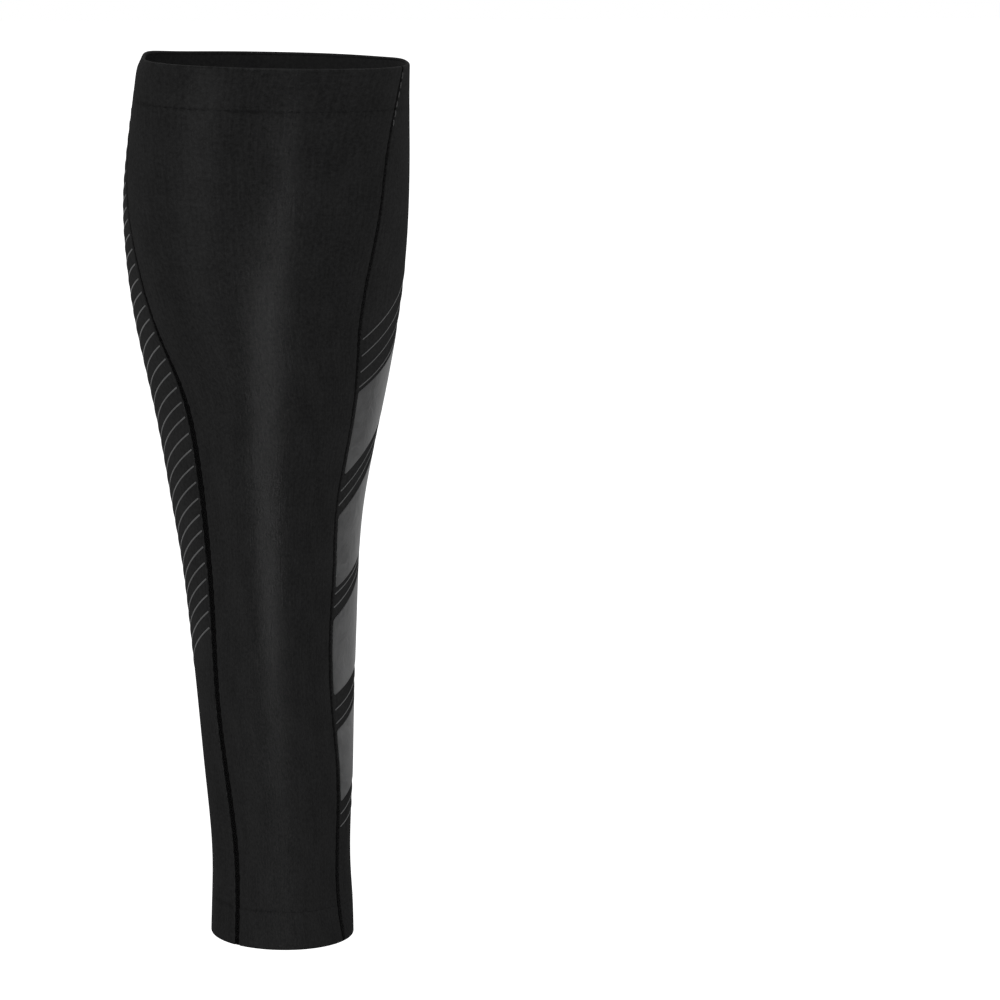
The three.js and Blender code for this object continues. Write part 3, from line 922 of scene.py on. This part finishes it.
def raised_line(number):
    """Points and faces of one line: a low rounded strip on the cloth, closed at both ends."""
    angle, share = line_path(number)
    place = worn_point(angle, share, 0.0)
    length = np.concatenate([[0], np.cumsum(np.linalg.norm(np.diff(place, axis=0), axis=1))])
    steps = np.linspace(0, length[-1], int(length[-1] / LINE_STEP))
    ends = np.array([0.0, 0.1, LINE_END])
    steps = np.concatenate([ends, steps[1:-1], length[-1] - ends[::-1]])
    angle = np.interp(steps, length, angle)
    share = np.interp(steps, length, share)
    per_degree = np.radians(1) * mean_radius(share)
    run = np.gradient(angle * per_degree)
    rise = np.gradient(share * LENGTH)
    size = np.hypot(run, rise)
    width = LINE_WIDTH * np.interp(angle, *LINE_WIDENS)
    from_end = np.minimum(steps, length[-1] - steps)
    taper = np.sqrt(np.clip(1 - (1 - np.clip(from_end / LINE_END, 0, 1)) ** 2, 0.06, 1))
    rings = []
    for across, up in LINE_PROFILE:
        offset = across * width / 2 * taper
        at_angle = angle - offset * rise / size / per_degree
        at_share = share + offset * run / size / LENGTH
        outset = relief(at_angle, at_share) - LINE_SUNK + up * LINE_HEIGHT * taper
        rings.append(worn_point(at_angle, at_share, outset))
    rings = np.stack(rings, axis=1)
    index = np.arange(rings.shape[0] * rings.shape[1]).reshape(rings.shape[:2])
    following = np.roll(index, -1, axis=1)
    walls = np.stack([index[:-1], index[1:], following[1:], following[:-1]], axis=-1).reshape(-1, 4)
    # Each end is closed by two quads across its six points
    caps = [index[0][[0, 1, 2, 3]], index[0][[0, 3, 4, 5]],
            index[-1][[3, 2, 1, 0]], index[-1][[5, 4, 3, 0]]]
    return rings.reshape(-1, 3), np.concatenate([walls, caps])


line_points = []
line_faces = []
placed = 0
for number in range(LINE_COUNT):
    points, faces = raised_line(number)
    line_points.append(points)
    line_faces.append(faces + placed)
    placed += len(points)
grey_line = film_finish("grey_line", (0.18, 0.181, 0.183, 1), (0.27, 0.271, 0.273, 1),
                        roughness=0.34, wrinkles=0.1)
fine_lines = make_mesh("fine_lines", np.concatenate(line_points), np.concatenate(line_faces),
                       grey_line)
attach(fine_lines, "root")


# Studio
# A white sweep lit to pure white, broad soft light all round, two narrow lights in front that draw
# the soft upright highlight down the shin, and a small one at the side that glints on the films.
# From here on sizes are in metres
FLOOR_BELOW, FLOOR_REACH = 1.3, 30
ROOM_LIGHT = 0.21
floor_height = cad_box[0][2] - FLOOR_BELOW

floor_mesh = bpy.data.meshes.new("studio_floor")
floor_mesh.from_pydata([(x * FLOOR_REACH, y * FLOOR_REACH, floor_height)
                        for x, y in ((-1, -1), (1, -1), (1, 1), (-1, 1))], [], [(0, 1, 2, 3)])
studio_floor = bpy.data.objects.new("studio_floor", floor_mesh)
bpy.context.scene.collection.objects.link(studio_floor)
white = Finish("white_sweep")
white.set(Base_Color=(0.9, 0.9, 0.9, 1), Roughness=0.9, Emission_Color=(1, 1, 1, 1),
          Emission_Strength=1.05)
floor_mesh.materials.append(white.material)
# The floor is for the camera: it doesn't light the sleeve from below
studio_floor.visible_diffuse = False
studio_floor.visible_glossy = False
studio_floor.visible_shadow = False


def soft_light(name, size, azimuth, elevation, distance, power, roll=0, aim_height=-0.12):
    """A rectangular light aimed at the sleeve. Azimuth 0 is in front, 90 on the right.
    roll leans its upper end over to the right, as seen from behind the light."""
    aim = Vector((0, 0, aim_height))
    turn, tilt = math.radians(azimuth), math.radians(elevation)
    direction = Vector((math.sin(turn) * math.cos(tilt), -math.cos(turn) * math.cos(tilt),
                        math.sin(tilt)))
    lamp = bpy.data.lights.new(name, "AREA")
    lamp.shape = "RECTANGLE"
    lamp.size, lamp.size_y = size
    lamp.energy = power
    piece = bpy.data.objects.new(name, lamp)
    piece.location = aim + direction * distance
    lean = Matrix.Rotation(math.radians(-roll), 3, "Z")
    piece.rotation_euler = ((-direction).to_track_quat("-Z", "Y").to_matrix() @ lean).to_euler()
    piece.visible_camera = False
    bpy.context.scene.collection.objects.link(piece)


# name, size in metres, azimuth, elevation, distance, power
soft_light("strip_high", (0.05, 0.4), 6.6, 0, 1.0, 0.265, roll=17, aim_height=-0.165)
soft_light("strip_low", (0.07, 0.3), -3.5, 0, 1.0, 0.4, roll=74, aim_height=-0.395)
soft_light("soft_left", (1.0, 1.6), -50, 5, 1.9, 2.25, aim_height=-0.15)
soft_light("soft_right", (1.0, 1.6), 60, 10, 1.9, 0.36)
soft_light("soft_top", (1.2, 1.2), 0, 55, 2.0, 3.5)
soft_light("soft_back", (2.0, 1.4), 180, 42, 2.0, 5)
soft_light("edge_right", (1.1, 0.45), 155, 0, 1.2, 0.4, aim_height=-0.25)
soft_light("film_gloss", (0.25, 0.06), 112, -12, 0.45, 0.026, aim_height=-0.185)
soft_light("edge_left", (1.1, 0.45), -150, 0, 1.2, 0.55, aim_height=-0.35)

world = bpy.data.worlds.new("white_room")
world.use_nodes = True
room = world.node_tree
# The room looks white, but lights the sleeve only a little, as a studio with dark walls would
seen = room.nodes.new("ShaderNodeLightPath").outputs["Is Camera Ray"]
strength = room.nodes.new("ShaderNodeMapRange")
room.links.new(seen, strength.inputs["Value"])
strength.inputs["To Min"].default_value = ROOM_LIGHT
strength.inputs["To Max"].default_value = 1.0
room.nodes["Background"].inputs["Color"].default_value = (1, 1, 1, 1)
room.links.new(strength.outputs["Result"], room.nodes["Background"].inputs["Strength"])
bpy.context.scene.world = world
bpy.context.scene.view_settings.view_transform = "Standard"

# The camera stands 2 m in front and looks a little down, as for the photograph
EYE = Vector((-0.37, -2002.5, 184.2)) * MM
PITCH, YAW = math.radians(8.760), math.radians(2.737)
forward = Vector((math.sin(YAW) * math.cos(PITCH), math.cos(YAW) * math.cos(PITCH),
                  -math.sin(PITCH)))
sideways = Vector((math.cos(YAW), -math.sin(YAW), 0))
upwards = sideways.cross(forward)
lens = bpy.data.cameras.new("photo_camera")
lens.lens = 177.07
lens.sensor_width = 36.0
lens.clip_end = 100.0
camera = bpy.data.objects.new("photo_camera", lens)
axes = Matrix((sideways, upwards, -forward)).transposed()
camera.matrix_world = Matrix.Translation(EYE) @ axes.to_4x4()
bpy.context.scene.collection.objects.link(camera)
bpy.context.scene.camera = camera
